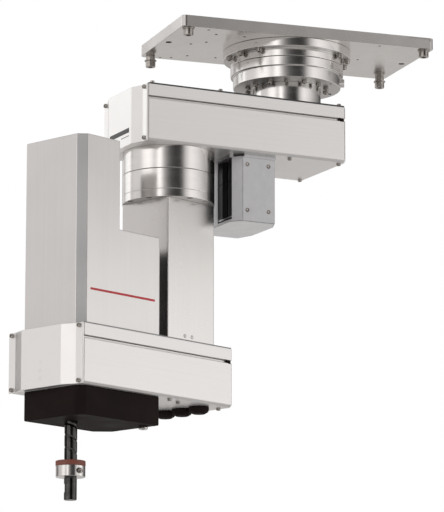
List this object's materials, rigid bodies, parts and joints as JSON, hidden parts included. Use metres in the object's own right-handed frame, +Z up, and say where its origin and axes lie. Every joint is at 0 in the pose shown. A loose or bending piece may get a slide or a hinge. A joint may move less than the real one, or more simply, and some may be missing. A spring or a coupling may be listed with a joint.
{
  "type": "scara robot arm",
  "caption": "Ceiling-mounted four-axis SCARA robot: base plate, two level arms, square column, tall stepped cover and a vertical tool shaft that slides and turns.",
  "frame": {"origin": "on the J1 axis, in the top (mounting) face of the base plate", "axes": "+Z up, out of the mounting face into the ceiling; +X along the long side of the base plate; +Y along its short side"},
  "size_m": [0.5778, 0.2668, 0.6402],
  "materials": {
    "plate": "satin, machined",
    "turned_metal": "turned",
    "screws": "nickel plated",
    "bearing_steel": "ground",
    "arm_metal": "satin anodised",
    "dark_sheet": "matte",
    "cap_plastic": "satin",
    "zinc_sheet": "zinc plated",
    "motor_black": "satin",
    "belt_rubber": "matte",
    "pulley_metal": "turned",
    "black_plastic": "satin moulded",
    "grey_sheet": "satin",
    "shaft_steel": "hardened, blackened",
    "collar_steel": "turned",
    "damper": "matte"
  },
  "bodies": {
    "base": {"base_plate": "plate", "plate_bolts": "screws", "j1_fixed_flange": "turned_metal", "j1_flange_screws": "screws", "j1_bearing_outer": "bearing_steel", "j1_circular_spline": "bearing_steel"},
    "arm1": {"j1_turning_ring": "turned_metal", "j1_hub_screws": "screws", "j1_plug": "cap_plastic", "motor_foot": "zinc_sheet", "j1_bearing_inner": "bearing_steel", "j1_flexspline": "bearing_steel", "arm1_housing": "arm_metal", "arm1_top_sheet": "dark_sheet", "arm1_end_cap": "cap_plastic", "arm1_bottom_cover": "arm_metal", "arm1_cover_screws": "screws", "motor_box": "zinc_sheet", "motor_box_screws": "screws", "j1_motor": "motor_black", "j2_motor": "motor_black", "j1_belt": "belt_rubber", "j2_belt": "belt_rubber", "j2_housing": "turned_metal", "j2_bearing_outer": "bearing_steel", "j2_circular_spline": "bearing_steel"},
    "j1_input": {"j1_wave_generator": "bearing_steel", "j1_input_pulley": "pulley_metal"},
    "j2_input": {"j2_wave_generator": "bearing_steel", "j2_input_pulley": "pulley_metal"},
    "j1_rotor": {"j1_motor_pulley": "pulley_metal"},
    "j2_rotor": {"j2_motor_pulley": "pulley_metal"},
    "arm2": {"j2_flexspline": "bearing_steel", "j2_bearing_inner": "bearing_steel", "j2_turning_ring": "turned_metal", "column_flange": "turned_metal", "column_flange_screws": "screws", "column": "arm_metal", "column_screws": "screws", "arm2_housing": "arm_metal", "arm2_end_cap": "cap_plastic", "arm2_bottom_cover": "arm_metal", "arm2_cover_screws": "screws", "cable_glands": "black_plastic", "tall_cover": "grey_sheet", "bottom_cover": "black_plastic", "j3_motor": "motor_black", "j4_motor": "motor_black", "j3_belt": "belt_rubber", "j4_belt": "belt_rubber"},
    "ball_nut": {"ball_nut": "bearing_steel"},
    "j3_rotor": {"j3_motor_pulley": "pulley_metal"},
    "spline_nut": {"spline_nut": "bearing_steel"},
    "j4_rotor": {"j4_motor_pulley": "pulley_metal"},
    "shaft": {"tool_shaft": "shaft_steel", "stop_collar": "collar_steel", "collar_screw": "screws", "damper_ring": "damper"}
  },
  "joints": [
    {"name": "j1", "type": "hinge", "parent": "base", "child": "arm1", "pos_m": [0, 0, -0.0374], "axis": [0, 0, 1], "range_deg": [-231.84, 218.16]},
    {"name": "j2", "type": "hinge", "parent": "arm1", "child": "arm2", "pos_m": [-0.17375, -0.02084, -0.2025], "axis": [0, 0, 1], "range_deg": [-245.71, 204.29]},
    {"name": "j4", "type": "hinge", "parent": "arm2", "child": "spline_nut", "pos_m": [-0.32891, -0.10178, -0.52], "axis": [0, 0, 1], "range_deg": [-720, 720]},
    {"name": "j3", "type": "slide", "parent": "spline_nut", "child": "shaft", "axis": [0, 0, 1], "range_m": [-0.11, 0.04]},
    {"name": "j1_wave_turn", "type": "hinge", "parent": "arm1", "child": "j1_input", "pos_m": [0, 0, -0.08], "axis": [0, 0, 1], "range_deg": [-11900, 11900]},
    {"name": "j1_motor_turn", "type": "hinge", "parent": "arm1", "child": "j1_rotor", "pos_m": [-0.06752, -0.03328, -0.15], "axis": [0, 0, 1], "range_deg": [-23800, 23800]},
    {"name": "j2_wave_turn", "type": "hinge", "parent": "arm1", "child": "j2_input", "pos_m": [-0.17375, -0.02084, -0.16], "axis": [0, 0, 1], "range_deg": [-12300, 12300]},
    {"name": "j2_motor_turn", "type": "hinge", "parent": "arm1", "child": "j2_rotor", "pos_m": [-0.07347, 0.01637, -0.15], "axis": [0, 0, 1], "range_deg": [-24600, 24600]},
    {"name": "j3_nut_turn", "type": "hinge", "parent": "arm2", "child": "ball_nut", "pos_m": [-0.32891, -0.10178, -0.45], "axis": [0, 0, 1], "range_deg": [-901, 2477]},
    {"name": "j3_motor_turn", "type": "hinge", "parent": "arm2", "child": "j3_rotor", "pos_m": [-0.2596, -0.10059, -0.45], "axis": [0, 0, 1], "range_deg": [-2203, 6054]},
    {"name": "j4_motor_turn", "type": "hinge", "parent": "arm2", "child": "j4_rotor", "pos_m": [-0.28134, -0.05892, -0.52], "axis": [0, 0, 1], "range_deg": [-1765, 1765]}
  ],
  "couplings": [
    {"joint": "j1_wave_turn", "follows": "j1", "ratio": -51},
    {"joint": "j1_motor_turn", "follows": "j1", "ratio": -102},
    {"joint": "j2_wave_turn", "follows": "j2", "ratio": -50},
    {"joint": "j2_motor_turn", "follows": "j2", "ratio": -100},
    {"joint": "j3_nut_turn", "follows": "j3", "rad_per_m": -392.7},
    {"joint": "j3_motor_turn", "follows": "j3", "rad_per_m": -959.93},
    {"joint": "j4_motor_turn", "follows": "j4", "ratio": 2.4444}
  ]
}
